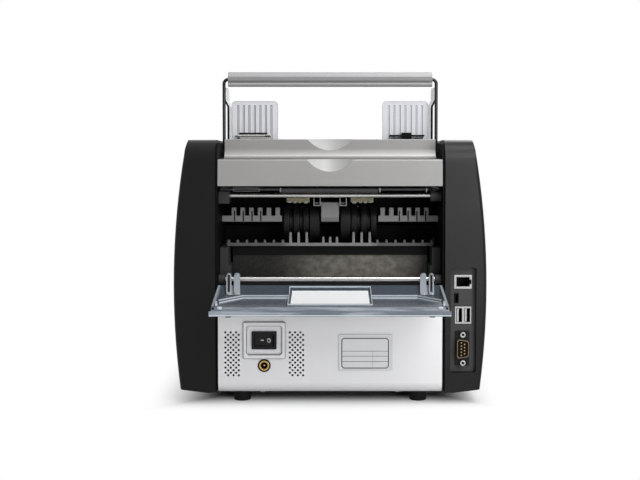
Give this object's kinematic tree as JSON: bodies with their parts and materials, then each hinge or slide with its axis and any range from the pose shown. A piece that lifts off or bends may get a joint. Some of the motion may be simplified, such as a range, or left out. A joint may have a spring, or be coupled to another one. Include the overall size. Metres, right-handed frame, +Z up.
{
  "type": "banknote counter",
  "caption": "Desktop banknote counter with bulged black side housings, silver rear covers, hinged clear rear door, wire carry bail, sliding hopper guides and rear ports.",
  "frame": {"origin": "on the surface it stands on, below the middle of the machine with its rear door open", "axes": "+Z up; -Y to the operator's side; +Y to the pictured rear; +X to the operator's right"},
  "size_m": [0.277, 0.3026, 0.2952],
  "materials": {
    "housing_black": "fine-grained black moulding",
    "silver": "silver paint, satin",
    "frame_black": "black-coated sheet steel",
    "steel": "ground steel rod",
    "clear_blue": "clear blue-grey plastic",
    "clear_pale": "pale translucent plastic",
    "light_grey": "light grey moulding",
    "dark_grey": "dark grey moulding",
    "black_plastic": "black moulding",
    "black_gloss": "glossy black moulding",
    "rubber": "black rubber",
    "grip_grey": "grey grip moulding",
    "board": "circuit board",
    "brass": "gilt contact",
    "plate": "bare plate",
    "lens": "dark display window",
    "key": "grey key"
  },
  "bodies": {
    "machine": {"base_tray": "frame_black", "feet": "rubber", "left_side_frame": "frame_black", "right_side_frame": "frame_black", "left_housing": "housing_black", "right_housing": "housing_black", "rear_panel": "silver", "rating_plate": "plate", "switch_body": "black_gloss", "power_jack": "black_plastic", "jack_sleeve": "brass", "door_rod": "steel", "tie_rod": "steel", "rod_blocks": "black_plastic", "pocket_roof": "dark_grey", "sensor_boards": "board", "flap_brackets": "steel", "upper_comb": "light_grey", "lower_comb": "light_grey", "sensor_bar": "black_plastic", "sensor_window": "dark_grey", "transport_plate": "black_plastic", "upper_rear_cover": "silver", "hopper_back_plate": "silver", "hopper_tray": "dark_grey", "guide_rail": "steel", "shaft_bushes": "brass", "main_motor": "frame_black", "drive_belts": "rubber", "control_panel": "black_plastic", "display_lens": "lens", "control_board": "board", "stacker_tray": "black_plastic", "main_board": "board", "network_jack": "steel", "usb_jacks": "steel", "serial_port": "steel", "fasteners": "steel"},
    "door": {"rear_door": "clear_blue"},
    "bail": {"bail_wire": "steel", "bail_grip": "grip_grey"},
    "left_hopper_guide": {"left_guide": "clear_pale", "left_guide_clip": "black_plastic"},
    "right_hopper_guide": {"right_guide": "clear_pale", "right_guide_clip": "steel"},
    "rocker": {"switch_rocker": "black_gloss"},
    "flap": {"pressure_flap": "light_grey"},
    "drive": {"drive_shaft": "steel", "drive_wheels": "rubber", "ribbed_rollers": "rubber", "drive_pulley": "dark_grey"},
    "pickup": {"pickup_shaft": "steel", "pickup_rollers": "rubber"},
    "impeller": {"impeller_shaft": "steel", "impellers": "light_grey"},
    "motor_shaft": {"motor_pulley": "steel"},
    "key_one": {"key_1": "key"},
    "key_two": {"key_2": "key"},
    "key_three": {"key_3": "key"},
    "key_four": {"key_4": "key"}
  },
  "joints": [
    {"name": "rear_door_hinge", "type": "hinge", "parent": "machine", "child": "door", "pos_m": [0, 0.07275, 0.11], "axis": [1, 0, 0], "range_deg": [0, 95]},
    {"name": "bail_pivot", "type": "hinge", "parent": "machine", "child": "bail", "pos_m": [0, 0.03475, 0.222], "axis": [-1, 0, 0], "range_deg": [0, 85]},
    {"name": "left_guide_slide", "type": "slide", "parent": "machine", "child": "left_hopper_guide", "axis": [1, 0, 0], "range_m": [0, 0.028]},
    {"name": "right_guide_slide", "type": "slide", "parent": "machine", "child": "right_hopper_guide", "axis": [-1, 0, 0], "range_m": [0, 0.028]},
    {"name": "power_rocker", "type": "hinge", "parent": "machine", "child": "rocker", "pos_m": [0.058, 0.08415, 0.0575], "axis": [0, 0, 1], "range_deg": [0, 16]},
    {"name": "pressure_flap_pivot", "type": "hinge", "parent": "machine", "child": "flap", "pos_m": [0, 0.04675, 0.176], "axis": [1, 0, 0], "range_deg": [0, 20], "stiffness_Nm_per_rad": 0.02},
    {"name": "drive_spin", "type": "hinge", "parent": "machine", "child": "drive", "pos_m": [0, 0.02275, 0.158], "axis": [1, 0, 0], "continuous": true},
    {"name": "pickup_spin", "type": "hinge", "parent": "machine", "child": "pickup", "pos_m": [0, -0.02725, 0.18063], "axis": [1, 0, 0], "continuous": true},
    {"name": "impeller_spin", "type": "hinge", "parent": "machine", "child": "impeller", "pos_m": [0, -0.04325, 0.082], "axis": [1, 0, 0], "continuous": true},
    {"name": "motor_spin", "type": "hinge", "parent": "machine", "child": "motor_shaft", "pos_m": [0, 0.01475, 0.06], "axis": [1, 0, 0], "continuous": true},
    {"name": "key_1_press", "type": "slide", "parent": "machine", "child": "key_one", "axis": [0, 0.5821, -0.8131], "range_m": [0, 0.0012], "stiffness_N_per_m": 300},
    {"name": "key_2_press", "type": "slide", "parent": "machine", "child": "key_two", "axis": [0, 0.5821, -0.8131], "range_m": [0, 0.0012], "stiffness_N_per_m": 300},
    {"name": "key_3_press", "type": "slide", "parent": "machine", "child": "key_three", "axis": [0, 0.5821, -0.8131], "range_m": [0, 0.0012], "stiffness_N_per_m": 300},
    {"name": "key_4_press", "type": "slide", "parent": "machine", "child": "key_four", "axis": [0, 0.5821, -0.8131], "range_m": [0, 0.0012], "stiffness_N_per_m": 300}
  ],
  "couplings": [
    {"joint": "pickup_spin", "follows": "drive_spin", "ratio": 1},
    {"joint": "impeller_spin", "follows": "drive_spin", "ratio": 0.5},
    {"joint": "motor_spin", "follows": "drive_spin", "ratio": 2}
  ]
}
